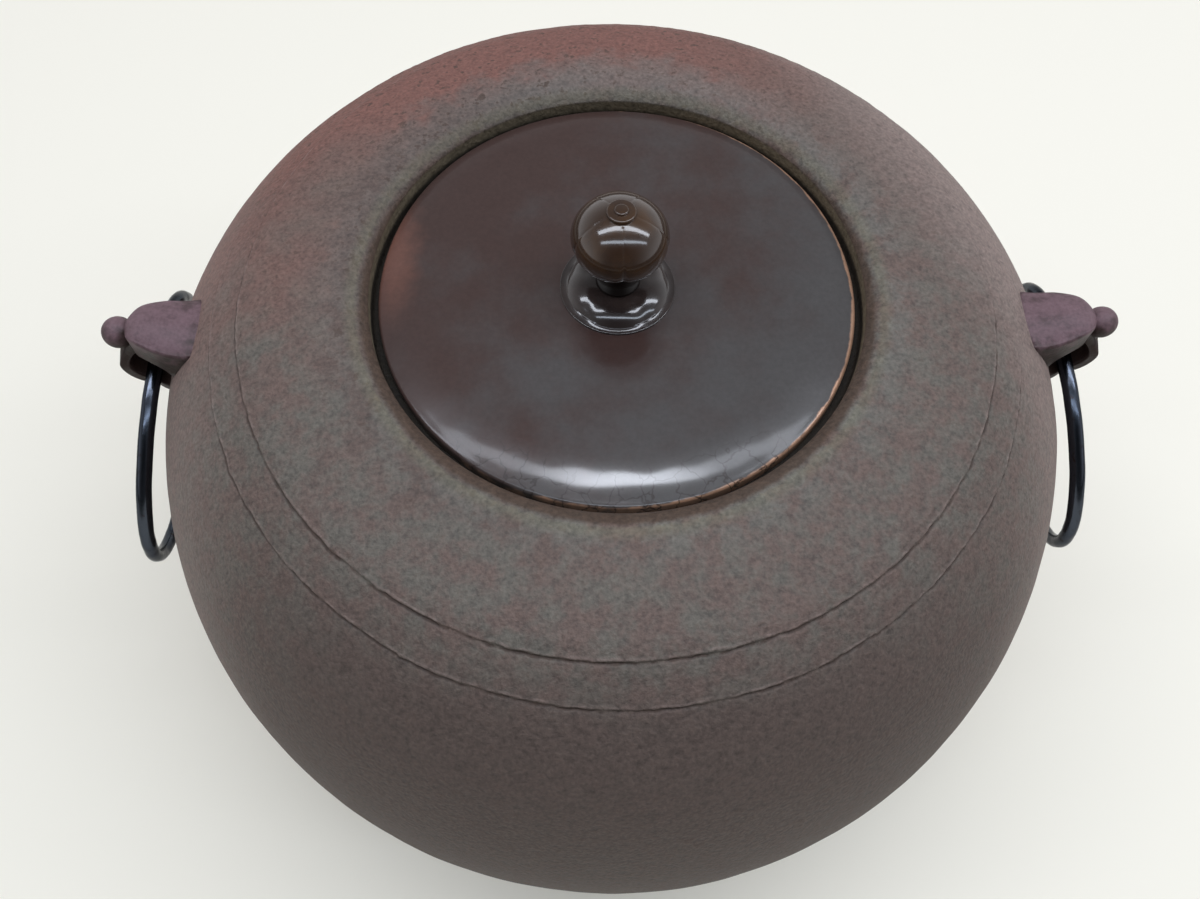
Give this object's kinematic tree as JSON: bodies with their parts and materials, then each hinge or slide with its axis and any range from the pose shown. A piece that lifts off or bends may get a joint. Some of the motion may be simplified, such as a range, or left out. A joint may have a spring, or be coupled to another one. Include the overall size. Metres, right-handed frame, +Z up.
{
  "type": "tea kettle",
  "caption": "Round cast-iron tea kettle with a flat shoulder, a sunk bronze lid with a bud knob, and carrying rings that swing in lugs at its sides.",
  "frame": {"origin": "middle of the flat base, where the kettle stands", "axes": "+Z up along the kettle's axis; the lugs and rings lie along X; -Y is the side that faces the picture"},
  "size_m": [0.2956, 0.27, 0.2159],
  "materials": {
    "kettle_iron": "matte sand-cast skin",
    "lug_iron": "matte reddish casting",
    "ring_iron": "satin black wrought iron",
    "lid_bronze": "satin dark brown patina",
    "knob_bronze": "glossy brown lacquered bronze",
    "plate_iron": "dark scaled iron",
    "bed_lacquer": "black-brown lacquer putty"
  },
  "bodies": {
    "kettle": {"kettle_body": "kettle_iron", "left_lug": "lug_iron", "right_lug": "lug_iron", "singing_plate_1": "plate_iron", "singing_plate_2": "plate_iron", "singing_plate_3": "plate_iron", "singing_plate_4": "plate_iron", "singing_plate_5": "plate_iron", "lacquer_bed_1": "bed_lacquer", "lacquer_bed_2": "bed_lacquer", "lacquer_bed_3": "bed_lacquer", "lacquer_bed_4": "bed_lacquer", "lacquer_bed_5": "bed_lacquer"},
    "lid": {"lid_plate": "lid_bronze", "knob_seat": "knob_bronze", "knob": "knob_bronze", "knob_collar": "knob_bronze", "knob_pin": "knob_bronze", "pin_washer": "lid_bronze"},
    "left_ring": {"left_ring": "ring_iron"},
    "right_ring": {"right_ring": "ring_iron"}
  },
  "joints": [
    {"name": "lid_lift", "type": "slide", "parent": "kettle", "child": "lid", "axis": [0, 0, 1], "range_m": [0, 0.08]},
    {"name": "left_ring_swing", "type": "hinge", "parent": "kettle", "child": "left_ring", "pos_m": [-0.12636, 0, 0.15415], "axis": [0, 1, 0], "range_deg": [-7, 212]},
    {"name": "right_ring_swing", "type": "hinge", "parent": "kettle", "child": "right_ring", "pos_m": [0.12636, 0, 0.15415], "axis": [0, -1, 0], "range_deg": [-7, 212]}
  ]
}
